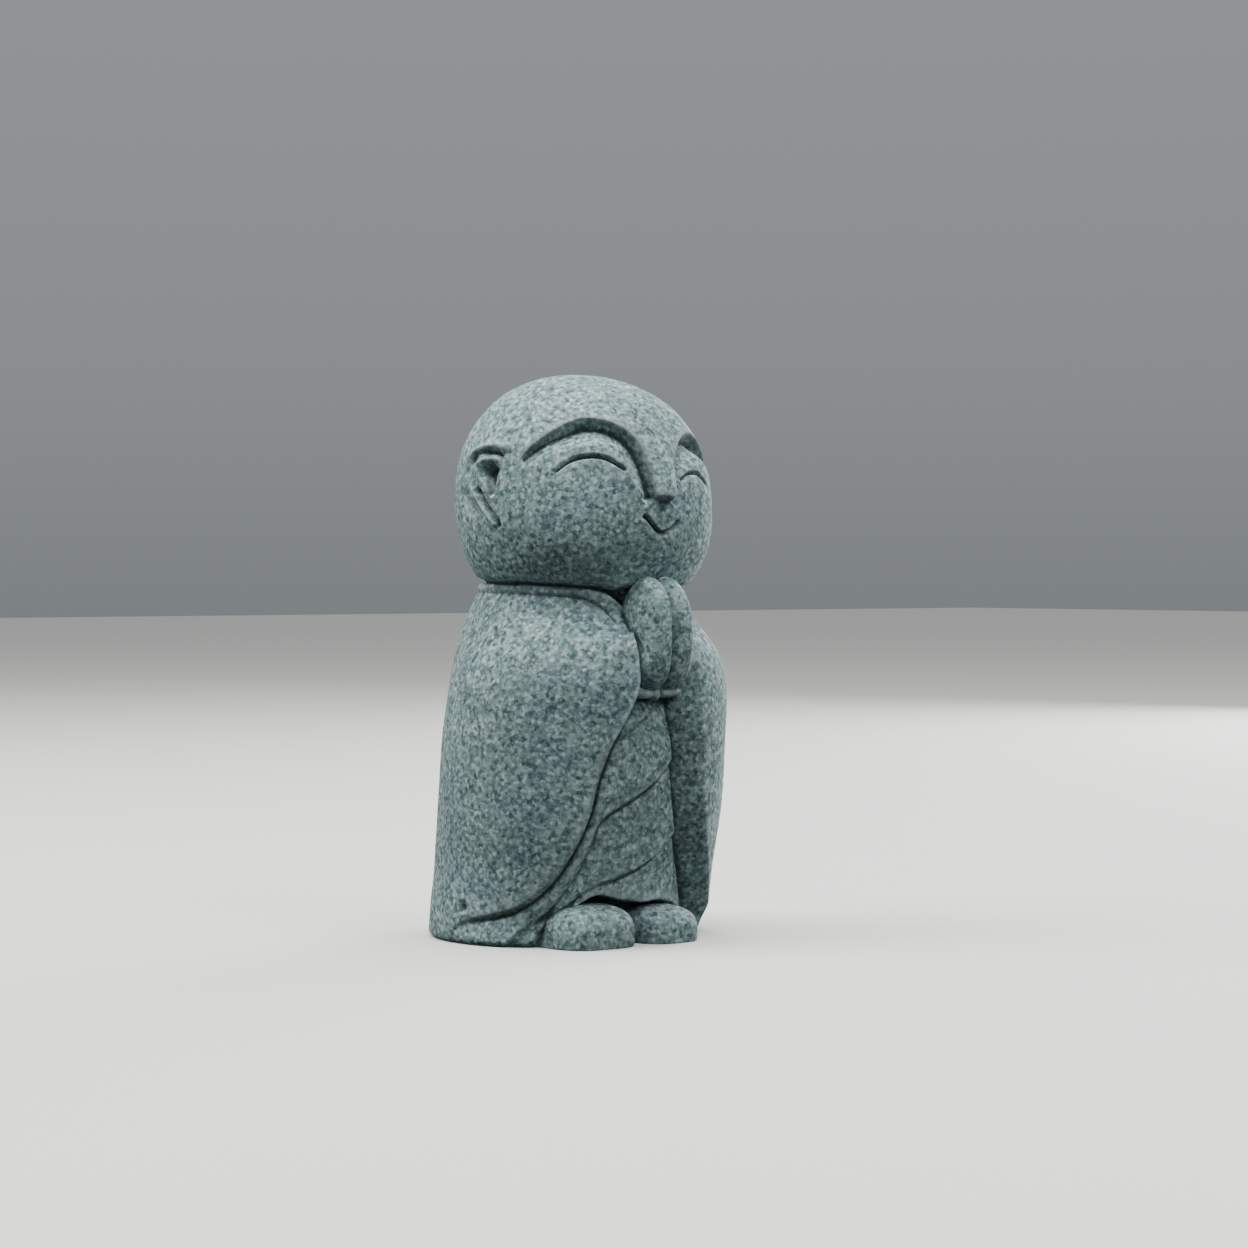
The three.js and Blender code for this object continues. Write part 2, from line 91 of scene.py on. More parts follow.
def curve_through(points):
    """A smooth curve y(x) through [x, y] points, with x rising."""
    x, y = np.array(points, float).T
    before = np.maximum(np.arange(len(x)) - 1, 0)
    after = np.minimum(np.arange(len(x)) + 1, len(x) - 1)
    slope = (y[after] - y[before]) / (x[after] - x[before])

    def read(at):
        at = np.clip(at, x[0], x[-1])
        i = np.clip(np.searchsorted(x, at, side="right") - 1, 0, len(x) - 2)
        span = x[i + 1] - x[i]
        rise = y[i + 1] - y[i]
        t = (at - x[i]) / span
        bend = (1 - t) * (slope[i] * span - rise) - t * (slope[i + 1] * span - rise)
        return y[i] + t * rise + t * (1 - t) * bend

    return read


def near_line(points, outward, line, reach):
    """The points within reach of a line laid on a surface: their indices, their distance from
    it (positive on the right of the line's run, seen from outside) and how far along it they
    are, from 0 to 1."""
    inside = np.all((points > line.min(0) - reach) & (points < line.max(0) + reach), axis=1)
    close = np.nonzero(inside)[0]
    best = np.full(len(close), np.inf)
    along = np.zeros(len(close))
    side = np.zeros(len(close))
    for i in range(len(line) - 1):
        step = line[i + 1] - line[i]
        away = points[close] - line[i]
        t = np.clip(away @ step / (step @ step), 0, 1)
        away = away - t[:, None] * step
        distance = np.linalg.norm(away, axis=1)
        nearer = distance < best
        best[nearer] = distance[nearer]
        along[nearer] = (i + t[nearer]) / (len(line) - 1)
        turn = np.einsum("ij,ij->i", np.cross(away, step), outward[close])
        side[nearer] = np.sign(turn[nearer])
    kept = best < reach
    return close[kept], (best * side)[kept], along[kept]


def groove(distance, half_width=LINE_WIDTH):
    """The section of a carved line, 1 in its middle: a V with soft shoulders."""
    return np.exp(-np.abs(distance / half_width) ** 1.6)


def fade(t, start=0.1, end=0.1):
    """Lets a carved line run out towards both of its ends."""
    return smooth(t, 0, start) * smooth(1 - t, 0, end)


# Height, half width, half depth and centre towards the back, as shares.
ROBE_OUTLINE = np.array([
    [0.000, 0.996, 0.976, 0.184],
    [0.060, 0.987, 0.976, 0.164],
    [0.117, 0.979, 0.986, 0.126],
    [0.231, 1.000, 0.995, 0.038],
    [0.360, 0.995, 1.000, -0.020],
    [0.445, 0.961, 0.995, -0.062],
    [0.490, 0.914, 0.986, -0.058],
    [0.520, 0.863, 0.971, -0.038],
    [0.550, 0.795, 0.920, 0.010],
    [0.575, 0.734, 0.862, 0.045],
    [0.600, 0.694, 0.805, 0.050],
    [COLLAR, 0.680, 0.780, 0.035],
    [COLLAR + 0.02, 0.670, 0.770, 0.030],
])
robe_half_width = curve_through(ROBE_OUTLINE[:, [0, 1]] * [1, ROBE_WIDTH / 2])
robe_half_depth = curve_through(ROBE_OUTLINE[:, [0, 2]] * [1, ROBE_DEPTH / 2])
robe_centre = curve_through(ROBE_OUTLINE[:, [0, 3]] * [1, ROBE_DEPTH / 2])


def robe_point(angle, height, inset=0.0):
    """A point of the robe: angle in degrees from the front, positive towards its left."""
    angle, height, inset = np.broadcast_arrays(angle, height, inset)
    share = height / STATUE_HEIGHT
    low = np.clip(1 - np.maximum(height, 0) / BASE_ROUND, 0, 1)
    rounding = np.minimum(BASE_ROUND * (1 - np.sqrt(1 - low**2)), 0.8 * BASE_ROUND)
    corner = 1.8 * smooth(0.06 - share, 0, 0.06) * np.exp(-(((angle - SLEEVE_FRONT) / 16) ** 2))
    half_width = robe_half_width(share) - inset - rounding - corner
    half_depth = robe_half_depth(share) - inset - rounding - corner
    x = np.sin(np.radians(angle))
    y = -np.cos(np.radians(angle))
    across = np.abs(x / half_width) ** ROBE_SQUARENESS
    along = np.abs(y / half_depth) ** ROBE_SQUARENESS
    reach = (across + along) ** (-1 / ROBE_SQUARENESS)
    return np.stack([x * reach, robe_centre(share) + y * reach, height], axis=-1)


# Edges of cloth over the robe, as height share and angle.
cape_edge = curve_through([
    [-0.02, -93], [0.020, -90], [0.041, -82], [0.062, -62.6], [0.102, -49], [0.164, -39.3],
    [0.232, -33.3], [0.289, -30.6], [0.343, -25.8], [0.390, -19.5], [0.448, -13.6], [0.500, -13.0],
    [0.533, -12.3], [0.566, -10.4], [0.593, -11.5], [0.610, -15.5], [0.624, -21], [0.640, -28],
])
wrap_edge = curve_through([
    [-0.02, -68], [0.029, -56.8], [0.065, -46.5], [0.122, -37.1], [0.175, -31.5], [0.215, -28.5],
    [0.238, -21], [0.262, -7.8], [0.290, 6], [0.335, 22],
])
under_edge = curve_through([
    [-0.02, -58], [0.046, -45.4], [0.080, -37], [0.104, -27], [0.119, -13.5], [0.136, 0],
    [0.164, 15.2], [0.205, 34],
])
sleeve_foot = curve_through([
    [-0.02, 59], [0.000, 57], [0.050, 50], [0.101, 41], [0.176, 29], [0.249, 21.4], [0.356, 15.3],
    [0.420, 11], [0.500, 13], [0.600, 20], [0.640, 27],
])
sleeve_edge = curve_through([
    [-0.02, 59.5], [0.000, 57.5], [0.060, 52.5], [0.118, 44.6], [0.194, 34.2], [0.285, 27.9],
    [0.356, 25.2], [0.426, 22.3], [0.510, 21.2], [0.560, 26], [0.600, 32], [0.640, 38],
])
depth_at_cape = curve_through([
    [-0.02, 0.15], [0.020, 0.25], [0.060, 0.8], [0.100, 1.0], [0.343, 1.0], [0.385, 2.2],
    [0.440, OPENING_DEPTH], [0.560, OPENING_DEPTH], [0.640, 2.8],
])
depth_at_sleeve = curve_through([
    [-0.02, 2.8], [0.100, 3.2], [0.356, 3.6], [0.440, OPENING_DEPTH], [0.560, OPENING_DEPTH],
    [0.640, 2.8],
])
hem_height = curve_through([
    [-54, -0.01], [-46.3, 0.034], [-35.3, 0.068], [-25, 0.087], [-10, 0.078], [5, 0.070],
    [18, 0.071], [31, 0.063], [43, 0.045], [50, 0.03],
])
crease_height = curve_through([[-24, 0.350], [-16.4, 0.368], [-8, 0.387], [1, 0.402]])
band_height = curve_through([
    [18, 0.560], [21, 0.583], [28, 0.599], [38, 0.605], [60, 0.606], [181, 0.606],
])


def robe_line(angle, share):
    return robe_point(angle, share * STATUE_HEIGHT)


def carve_robe(angle, height):
    """How deep each point of the robe's grid lies under the plain bell."""
    share = height / STATUE_HEIGHT
    skin = robe_point(angle, height)
    outward = skin - np.stack([0 * angle, robe_centre(share), height], axis=-1)
    outward /= np.linalg.norm(outward, axis=1)[:, None]

    def from_edge(edge, low, high, reach=6.0):
        at = np.linspace(low, high, 90)
        distance = np.where(angle > edge(share), reach, -reach).astype(float)
        close, apart, along = near_line(skin, outward, robe_line(edge(at), at), reach)
        distance[close] = np.sign(distance[close]) * np.abs(apart)
        return distance

    from_cape = from_edge(cape_edge, -0.02, 0.64)
    from_wrap = from_edge(wrap_edge, -0.02, 0.335)
    from_under = from_edge(under_edge, -0.02, 0.205)

    # The cloth between the cape's edge and the sleeve lies in layers, one behind the other.
    side = np.clip((angle + 40) / (sleeve_foot(share) + 40), 0, 1)
    floor = blend(depth_at_cape(share), depth_at_sleeve(share), side**1.5)
    below_wrap = smooth(from_wrap, -0.35, 0.25)
    below_under = smooth(from_under, -0.3, 0.25)
    floor += LAYER_STEP * (below_wrap + below_under)
    roll = np.exp(-(((from_cape - ROLL_DISTANCE) / ROLL_WIDTH) ** 2)) * smooth(share, 0.03, 0.08)
    floor -= ROLL_HEIGHT * roll * smooth(0.36 - share, 0, 0.10)
    line_a = groove(from_cape - 0.42) * smooth(share, 0.03, 0.06) * smooth(0.385 - share, 0, 0.03)
    line_b = groove(from_wrap - 0.30) * smooth(share, 0.01, 0.05)
    line_b *= blend(0.45, 1, smooth(share, 0.16, 0.24))
    line_c = groove(from_under - 0.30) * smooth(share, 0.01, 0.06)
    floor += LINE_DEPTH * np.maximum(line_a, np.maximum(line_b, 0.9 * line_c))
    at = np.linspace(-23, 1, 30)
    crease = robe_line(at, crease_height(at))
    close, apart, along = near_line(skin, outward, crease, 2.0)
    floor[close] += CREASE_DEPTH * groove(apart) * fade(along, 0.2, 0.2)

    # The hem arches over the feet, and under it the hollow goes in.
    under_hem = smooth(hem_height(angle) * STATUE_HEIGHT - height, -0.10, 0.22)
    under_hem *= smooth(angle, HEM_ENDS[0], HEM_ENDS[0] + 3) * smooth(HEM_ENDS[1] - angle, 0, 1.5)
    floor += under_hem * blend(0.9, HEM_DEPTH, smooth(angle, -40, -24))

    # The sleeve's inner side rises from its foot to a rounded front edge.
    wall = (sleeve_edge(share) - angle) / (sleeve_edge(share) - sleeve_foot(share))
    soft = 0.22
    wall = np.clip(wall, 0, 1)
    ramp = (np.sqrt(wall**2 + soft**2) - soft) / (math.sqrt(1 + soft**2) - soft)
    inset = floor * ramp * smooth(from_cape, -0.42, 0.38)
    at = np.linspace(0.03, 0.42, 60)
    foot = robe_line(sleeve_foot(at), at)
    close, apart, along = near_line(skin, outward, foot, 2.0)
    inset[close] += FOOT_LINE_DEPTH * groove(apart, 0.3) * fade(along)

    # The collar's band: a fine line below the rim that turns down along each front edge.
    turned = sleeve_edge(0.58) + cape_edge(0.58)
    run = BAND_CORNER + (BAND_END - BAND_CORNER) * np.linspace(1, 0, 200) ** 1.6
    band_line = np.zeros(len(skin))
    for hand in (-1, 1):
        shift = turned * (1 - run / BAND_END) if hand > 0 else 0
        band = robe_line(hand * (run + shift), band_height(run))
        close, apart, along = near_line(skin, outward, band, 2.0)
        cut = BAND_DEPTH * groove(apart, BAND_WIDTH) * smooth(1 - along, 0, 0.03)
        band_line[close] = np.maximum(band_line[close], cut)
        # Soft folds fall from the shoulders down the back.
        at = np.linspace(0, 1, 60)
        for start, end, depth in BACK_FOLDS:
            fold = robe_line(hand * blend(start, end, at**2), blend(0.52, 0.10, at))
            close, apart, along = near_line(skin, outward, fold, 5.0)
            inset[close] += depth * groove(apart, 1.5) * fade(along, 0.45, 0.35)
    inset += band_line

    # Above the rolled fold the cape's edge itself is a little thickened, like a hem.
    hem = smooth(share, 0.34, 0.42) * smooth(0.615 - share, 0, 0.02)
    inset -= HEM_THICKNESS * hem * np.exp(-(((from_cape + 0.5) / 0.4) ** 2))
    inset += 0.16 * hem * groove(from_cape + 1.15, 0.3)

    # A small pit that the casting left near the foot.
    pit = robe_line(-84, 0.067)
    away = np.linalg.norm(skin - pit, axis=1)
    low_rim = 0.12 * np.exp(-(((away - 1.35) / 0.3) ** 2))
    inset += PIT_DEPTH * np.exp(-((away / PIT_RADIUS) ** 3)) - low_rim

    # The collar's rim is rounded over.
    rim = smooth(height, ROBE_TOP - 0.5, ROBE_TOP)
    return inset + RIM_ROUND * rim**2


def rim_height(angle):
    """The collar stands a little higher at the back, and its front corners are rounded off."""
    right_corner = np.exp(-(((angle - cape_edge(COLLAR)) / 6.5) ** 2))
    left_corner = np.exp(-(((angle - sleeve_edge(COLLAR)) / 6.5) ** 2))
    return ROBE_TOP + 0.6 - 1.2 * np.exp(-((angle / 52) ** 2)) - 0.5 * (right_corner + left_corner)


def mesh_object(name, points, faces):
    """A Blender object from points in millimetres and faces."""
    mesh = bpy.data.meshes.new(name)
    mesh.from_pydata(np.asarray(points) * MM, [], faces)
    mesh.validate()
    thing = bpy.data.objects.new(name, mesh)
    bpy.context.scene.collection.objects.link(thing)
    return thing


ROBE_TOP = (COLLAR - 0.001) * STATUE_HEIGHT
FRONT = 72  # the carved front takes a grid twice as fine, in degrees to each side
columns = np.concatenate([
    np.arange(-180, -FRONT, 1.0),
    np.arange(-FRONT, FRONT, 0.5),
    np.arange(FRONT, 180, 1.0),
])
rows = np.concatenate([np.linspace(0, 2, 10, endpoint=False), np.linspace(2, ROBE_TOP, 224)])
angle, height = (grid.ravel() for grid in np.meshgrid(columns, rows))
robe_grid = robe_point(angle, height, carve_robe(angle, height))
raised = smooth(height, 0.82 * ROBE_TOP, ROBE_TOP) * (rim_height(angle) - ROBE_TOP)
robe_grid[:, 2] += raised
count = len(columns)
faces = []
for row in range(len(rows) - 1):
    for i in range(count):
        j = (i + 1) % count
        faces.append((row * count + i, row * count + j, (row + 1) * count + j, (row + 1) * count + i))
bottom, top = len(robe_grid), len(robe_grid) + 1
for i in range(count):
    j = (i + 1) % count
    faces.append((bottom, j, i))
    faces.append((top, (len(rows) - 1) * count + i, (len(rows) - 1) * count + j))
ends = [[0, robe_centre(0.0), 0], [0, robe_centre(COLLAR), ROBE_TOP]]
robe = mesh_object("cast_monk", np.concatenate([robe_grid, ends]), faces)

# The head. A large smooth ball that leans a little to its left, full at the cheeks, with the
# face and ears carved into it: arched brows that run down into the nose, closed eyes, a small
# smile and ears with long lobes. It is one casting with the robe and has no join.
HEAD_WIDTH = 41.2
HEAD_DEPTH = 41.2
HEAD_HEIGHT = 40.4
HEAD_ROLL = 5.5  # degrees
CROWN_SQUARENESS = 2.2
JAW_SQUARENESS = 2.25
BROW_DEPTH = 2.2  # how far the eye socket sinks below the brow
BROW_WIDTH = 0.6  # height of the steep face under the brow
EYE_WIDTH = 0.3  # half width of the carved line of a closed eye
MOUTH_WIDTH = 0.32
LINE_CUT = 1.0  # depth of the lines of the eyes and the mouth
EAR_RISE = 1.0  # how far the ear's rim stands out
EAR_DEPTH = 2.0  # how deep the ear's hollow is
NOSE_RISE = 1.7
NOSE_LENGTH = 10.5
NECK_FRONT = 1.5  # how far the head is drawn in where it meets the collar
NECK_BACK = 0.8


def head_direction(around, up):
    """A direction from the head's middle: degrees round from the face, and up."""
    around, up = np.radians(around), np.radians(up)
    level = np.cos(up)
    return np.stack([np.sin(around) * level, -np.cos(around) * level, np.sin(up)], axis=-1)


def head_point(direction, lift=0.0):
    """A point of the head in its own frame, lifted off the plain ball."""
    d = direction / np.linalg.norm(direction, axis=-1)[..., None]
    squareness = blend(CROWN_SQUARENESS, JAW_SQUARENESS, smooth(-d[..., 2], -0.2, 0.5))
    round_part = np.hypot(d[..., 0] / (HEAD_WIDTH / 2), d[..., 1] / (HEAD_DEPTH / 2)) ** squareness
    tall_part = np.abs(d[..., 2] / (HEAD_HEIGHT / 2)) ** squareness
    reach = (round_part + tall_part) ** (-1 / squareness)
    apart = (np.abs(d[..., 0]) - 0.62) ** 2 + (d[..., 1] + 0.72) ** 2 + (d[..., 2] + 0.28) ** 2
    cheek = 0.5 * np.exp(-apart / 0.12)
    point = d * (reach + lift + cheek)[..., None]
    point[..., 1] += 0.05 * point[..., 2]
    return point


def head_line(points, hand=1, samples=70):
    """A smooth line over the head through [around, up] points, mirrored if hand is -1."""
    points = np.array(points, float) * [hand, 1]
    at = np.linspace(0, len(points) - 1, samples)
    around, up = (curve_through(list(enumerate(column)))(at) for column in points.T)
    return head_point(head_direction(around, up))


BROW = [
    [68, 11], [64.2, 16], [57, 23], [50.5, 27.8], [42, 32.5], [31.8, 33.8], [22.2, 31.8],
    [15.2, 27.8], [10.2, 22], [7.8, 16.5], [6, 10.5], [4.6, 4.5], [3.8, 0.8], [3.2, -1.5],
]
RIGHT_EYE = [
    [50.8, 6.4], [45.2, 11.4], [39.8, 14.2], [33.2, 15.6], [27.5, 15.1], [22.5, 13], [17.2, 10.4],
]
LEFT_EYE = [[12, 9.2], [15, 11.2], [18, 13], [21.5, 14], [25, 14], [29, 13], [36, 10]]
MOUTH = [
    [-9.5, -8], [-7, -9.2], [-4.5, -11.2], [-2, -13.2], [0.8, -14.6], [3.4, -14.4], [6, -13],
    [8.6, -10.6], [11.5, -8],
]
EAR_RIM = [
    [72, 15.5], [77, 17.3], [83, 17.5], [89, 16.6], [95, 14.5], [99.5, 11], [100.5, 7], [98.3, 2.8],
    [93.6, -1.4], [88.1, -7], [83.9, -11], [80.1, -14.8], [77.6, -17.4],
]
EAR_BACK = [[113, 1], [106, -3], [99.5, -7], [93.5, -10.5], [88.5, -14.5], [84, -18]]
EAR_FOLD = [[96.5, 10.5], [94, 14], [91, 15.2], [86.5, 15.7], [80, 15.2], [75, 13]]
EAR_INNER = [
    [78, -6.5], [82, -2], [86, 2.5], [91.5, 7], [92.3, 9], [89.5, 11], [84.5, 12], [79, 12], [75, 11],
]
EAR_HOLLOW = [[83, 6], [81.8, 2], [80.6, -3]]
LOBE_LINE = [[92.5, 0], [89.2, -3], [86, -7], [81.8, -11], [77.8, -15], [76.4, -18.5]]

sphere = bmesh.new()
bmesh.ops.create_icosphere(sphere, subdivisions=8, radius=1)
head_mesh = bpy.data.meshes.new("head")
sphere.to_mesh(head_mesh)
sphere.free()
direction = np.zeros(len(head_mesh.vertices) * 3)
head_mesh.vertices.foreach_get("co", direction)
direction = direction.reshape(-1, 3)
direction /= np.linalg.norm(direction, axis=1)[:, None]
ball = head_point(direction)
lift = np.zeros(len(ball))
beside_nose = np.zeros(len(ball))
for hand in (-1, 1):
    # The brow overhangs the socket, which runs out again towards the cheek.
    close, apart, along = near_line(ball, direction, head_line(BROW, hand), 8.0)
    into = -apart * hand
    strength = smooth(along, -0.05, 0.32)
    width = BROW_WIDTH * blend(0.5, 1, strength)
    depth = BROW_DEPTH * blend(0.2, 1, strength) * blend(1, 0.7, smooth(along, 0.65, 0.9))
    if hand > 0:
        depth *= blend(1, 0.4, smooth(along, 0.55, 0.75))
    face = np.clip(into / width, 0, 1)
    run_out = blend(2.0, 4.8, strength) * blend(1, 0.5, smooth(along, 0.6, 0.9))
    out = smooth(into, width, width + run_out)
    ends = smooth(along, 0, 0.03) * (1 - smooth(along, 0.92, 1))
    lift[close] -= depth * face * (1 - out) * ends
    beside_nose[close] += smooth(into, 0, 0.9) * smooth(along, 0.55, 0.7) * ends
    eye = head_line(RIGHT_EYE if hand < 0 else LEFT_EYE, hand)
    close, apart, along = near_line(ball, direction, eye, 2.0)
    lift[close] -= LINE_CUT * np.exp(-np.abs(apart / EYE_WIDTH) ** 2.5) * fade(along, 0.06, 0.06)

    # The ear: a rim that ends in a long lobe, with a fold, a ridge and a hollow inside it.
    close, apart, along = near_line(ball, direction, head_line(EAR_RIM, hand), 3.0)
    outer = -apart * hand
    lobe = smooth(along, 0.5, 0.64)
    width = np.where(outer > 0, 1.0, 0.62) * blend(1, 0.5, lobe)
    low_back = 1 - 0.5 * np.exp(-(((along - 0.5) / 0.12) ** 2)) - 0.38 * lobe
    lift[close] += EAR_RISE * low_back * np.exp(-np.abs(outer / width) ** 2.2) * fade(along, 0.07, 0.06)
    close, apart, along = near_line(ball, direction, head_line(EAR_BACK, hand), 3.0)
    lift[close] -= 0.6 * groove(apart, 1.1) * fade(along, 0.25, 0.4)
    close, apart, along = near_line(ball, direction, head_line(EAR_FOLD, hand), 2.0)
    lift[close] -= 0.9 * groove(apart, 0.36) * fade(along, 0.12, 0.12)
    close, apart, along = near_line(ball, direction, head_line(EAR_INNER, hand), 2.0)
    lift[close] += 0.6 * groove(apart, 0.55) * fade(along, 0.15, 0.15)
    close, apart, along = near_line(ball, direction, head_line(EAR_HOLLOW, hand), 4.0)
    width = blend(1.75, 0.4, along**0.8)
    lift[close] -= EAR_DEPTH * blend(1, 0.5, along) * np.exp(-np.abs(apart / width) ** 3.5)
    close, apart, along = near_line(ball, direction, head_line(LOBE_LINE, hand), 2.0)
    lift[close] -= 0.85 * groove(apart, blend(0.6, 0.36, along)) * fade(along, 0.1, 0.15)

# The nose grows out of the gap between the brows down to a rounded tip.
tip = head_point(head_direction(0.4, 2.9))
across = ball[:, 0] - tip[0]
above = ball[:, 2] - tip[2]
facing = direction[:, 1] < -0.7
bridge = smooth(NOSE_LENGTH - above, 0, NOSE_LENGTH) ** 1.2 * smooth(above, -1.55, -0.45)
half = blend(1.2, 2.0, smooth(-above, -5.5, 0.5)) * np.where(across > 0, 1.3, 1)
nose = NOSE_RISE * bridge * np.exp(-np.abs(across / half) ** 2.4)
lift += np.where(facing, nose * (1 - np.clip(beside_nose, 0, 1)), 0)
below = np.exp(-((across / 1.4) ** 2) - ((above + 3.0) / 1.5) ** 2)  # the dip above the mouth
lift -= np.where(facing, 0.28 * below, 0)
close, apart, along = near_line(ball, direction, head_line(MOUTH), 2.0)
lift[close] -= LINE_CUT * np.exp(-np.abs(apart / MOUTH_WIDTH) ** 2.5) * fade(along, 0.05, 0.05)

# The head leans, and is drawn in a little where it goes into the collar.
carved = head_point(direction, lift)
roll = math.radians(HEAD_ROLL)
lean = np.array([[math.cos(roll), 0, math.sin(roll)], [0, 1, 0], [-math.sin(roll), 0, math.cos(roll)]])
carved = carved @ lean.T + [0, 0, STATUE_HEIGHT - HEAD_HEIGHT / 2]
around = np.degrees(np.arctan2(carved[:, 0], -carved[:, 1]))
pinch = blend(NECK_FRONT, NECK_BACK, smooth(np.abs(around), 60, 110))
pinch *= smooth(rim_height(around) + 1.1 - carved[:, 2], 0, 0.7)
reach = np.maximum(np.hypot(carved[:, 0], carved[:, 1]), 1e-6)
carved[:, :2] *= (np.maximum(reach - pinch, 0) / reach)[:, None]
head_mesh.vertices.foreach_set("co", (carved * MM).ravel())
head_mesh.update()
head = bpy.data.objects.new("head", head_mesh)
bpy.context.scene.collection.objects.link(head)

# The hands and feet. Two plain mitten hands are laid palm to palm under the chin, each
# coming out of a rolled cuff, and the tips of two feet show under the hem. They are round,
# worn forms in the same casting.
HAND_LENGTH = 19.0
HAND_MIDDLE = 0.536 * STATUE_HEIGHT
HAND_OVERLAP = 0.5  # each palm goes this far past the middle
HAND_SQUARENESS = 2.6
THUMB_DEPTH = 0.5
FOOT_LENGTH = 18.0
FOOT_MIDDLE = -9.4
FOOT_SQUARENESS = 3
RIGHT_FOOT = (14.6, 6.6, -8.2)  # width, height and middle
LEFT_FOOT = (12.0, 5.6, 5.5)
WRIST = (2.3, 3.05)  # half width and half depth of the ring that a cuff makes
CUFF_THICKNESS = 0.92
CUFF_HEIGHT = 39.6
CUFF_TILT = 0.16
hand_front = curve_through([
    [-1, -21.6], [-0.75, -23.0], [-0.5, -23.8], [0, -24.3], [0.5, -24.1], [0.8, -23.4], [1, -22.6],
])
hand_back = curve_through([[-1, -13.5], [0.4, -13.5], [1, -15.5]])
hand_thickness = curve_through([[-1, 4.5], [-0.4, 5.1], [0.1, 5.0], [0.7, 4.75], [1, 4.5]])


def ball_object(name, place, subdivisions=6):
    """A ball whose every direction is moved to where place(directions) says."""
    shape = bmesh.new()
    bmesh.ops.create_icosphere(shape, subdivisions=subdivisions, radius=1)
    points = place(np.array([v.co for v in shape.verts]))
    faces = [[v.index for v in f.verts] for f in shape.faces]
    shape.free()
    return mesh_object(name, points, faces)


def hand_place(hand):
    """Moves a ball's directions to a mitten hand: flat at the palm, blunt at both ends."""
    def place(v):
        level = (np.abs(v[:, :2]) ** HAND_SQUARENESS).sum(1) ** (1 / HAND_SQUARENESS)
        blunt = np.sqrt((1 - v[:, 2] ** 4).clip(0)) / np.maximum(level, 1e-9)
        half = hand_thickness(v[:, 2]) / 2
        front, back = hand_front(v[:, 2]), hand_back(v[:, 2])
        x = hand * (half - HAND_OVERLAP) + v[:, 0] * blunt * half
        y = (front + back) / 2 + v[:, 1] * blunt * (back - front) / 2
        points = np.stack([x, y, HAND_MIDDLE + v[:, 2] * HAND_LENGTH / 2], axis=1)
        # The thumb lies along the side of the hand, and shows as a shallow arc.
        at = np.linspace(0, 1, 30)
        arc = np.stack([
            0 * at + hand * 4.7,
            -18.0 - 3.4 * np.sin(1.5 * at),
            49.2 - 4.6 * at**1.6,
        ], axis=1)
        outward = np.repeat([[float(hand), 0, 0]], len(points), axis=0)
        close, apart, along = near_line(points, outward, arc, 2.0)
        points[close, 0] -= hand * THUMB_DEPTH * groove(apart, 0.45) * fade(along, 0.3, 0.3)
        return points

    return place


def foot_place(hand):
    """Moves a ball's directions to a foot: a flat-soled loaf."""
    def place(v):
        size = (np.abs(v) ** FOOT_SQUARENESS).sum(1) ** (1 / FOOT_SQUARENESS)
        v = v / size[:, None]
        width, height, middle = RIGHT_FOOT if hand < 0 else LEFT_FOOT
        instep = height / 4
        x = middle + v[:, 0] * width / 2
        y = FOOT_MIDDLE + v[:, 1] * FOOT_LENGTH / 2
        z = np.maximum(instep + v[:, 2] * (height - instep), 0)
        return np.stack([x, y, z], axis=1)

    return place


def cuff_object(name, hand):
    """A rolled rim round the wrist: a wavy ring of an oval section."""
    points, faces = [], []
    steps, sides = 72, 16
    for i in range(steps):
        turn = 2 * math.pi * i / steps
        for k in range(sides):
            bend = 2 * math.pi * k / sides
            spread = 1 + 0.29 * math.cos(bend)
            x = WRIST[0] * math.sin(turn) * spread
            y = WRIST[1] * math.cos(turn) * spread
            droop = 0.35 * math.sin(2 * turn + 0.6) + 0.2 * math.sin(5 * turn)
            thick = CUFF_THICKNESS + 0.14 * math.sin(3 * turn + 1)
            height = CUFF_HEIGHT + droop + thick * math.sin(bend) + CUFF_TILT * x
            points.append([hand * 2.1 + x, -17.2 + y, height])
    for i in range(steps):
        for k in range(sides):
            a, b = i * sides, (i + 1) % steps * sides
            faces.append((a + k, b + k, b + (k + 1) % sides, a + (k + 1) % sides))
    return mesh_object(name, points, faces)


others = [head]
for hand, word in ((-1, "right"), (1, "left")):
    others.append(ball_object("hand_" + word, hand_place(hand)))
    others.append(cuff_object("cuff_" + word, hand))
    others.append(ball_object("foot_" + word, foot_place(hand)))


def recalculated(thing):
    """Turns all of a closed mesh's faces outwards."""
    shape = bmesh.new()
    shape.from_mesh(thing.data)
    bmesh.ops.recalc_face_normals(shape, faces=shape.faces)
    shape.to_mesh(thing.data)
    shape.free()


# The casting as a whole. All forms are joined to one closed skin, as they come out of the
# mould, and the skin gets the uneven, sandy surface of cast stone powder.
TRIANGLES = 188000  # of the whole skin, which keeps it under 200,000
FINE_REACH, BROAD_REACH = 24, 140  # rounds of averaging with the neighbours
MASTER_WAVE, MASTER_SIZE = 0.10, 7.0  # height and length of the unevenness of the master
SAND_WAVE, SAND_SIZE = 0.02, 1.1  # and of that of the cast sand
for thing in [robe, *others]:
    recalculated(thing)
for thing in others:
    join = robe.modifiers.new(thing.name, "BOOLEAN")
    join.operation = "UNION"
    join.solver = "MANIFOLD"
    join.object = thing
robe.modifiers.new("triangles", "TRIANGULATE")
bpy.context.view_layer.update()
joined = bpy.data.meshes.new_from_object(robe.evaluated_get(bpy.context.evaluated_depsgraph_get()))
robe.modifiers.clear()
robe.data = joined
for thing in others:
    bpy.data.objects.remove(thing)
thin = robe.modifiers.new("thin", "DECIMATE")
thin.ratio = min(1.0, TRIANGLES / len(robe.data.polygons))
thin.use_collapse_triangulate = True
bpy.context.view_layer.update()
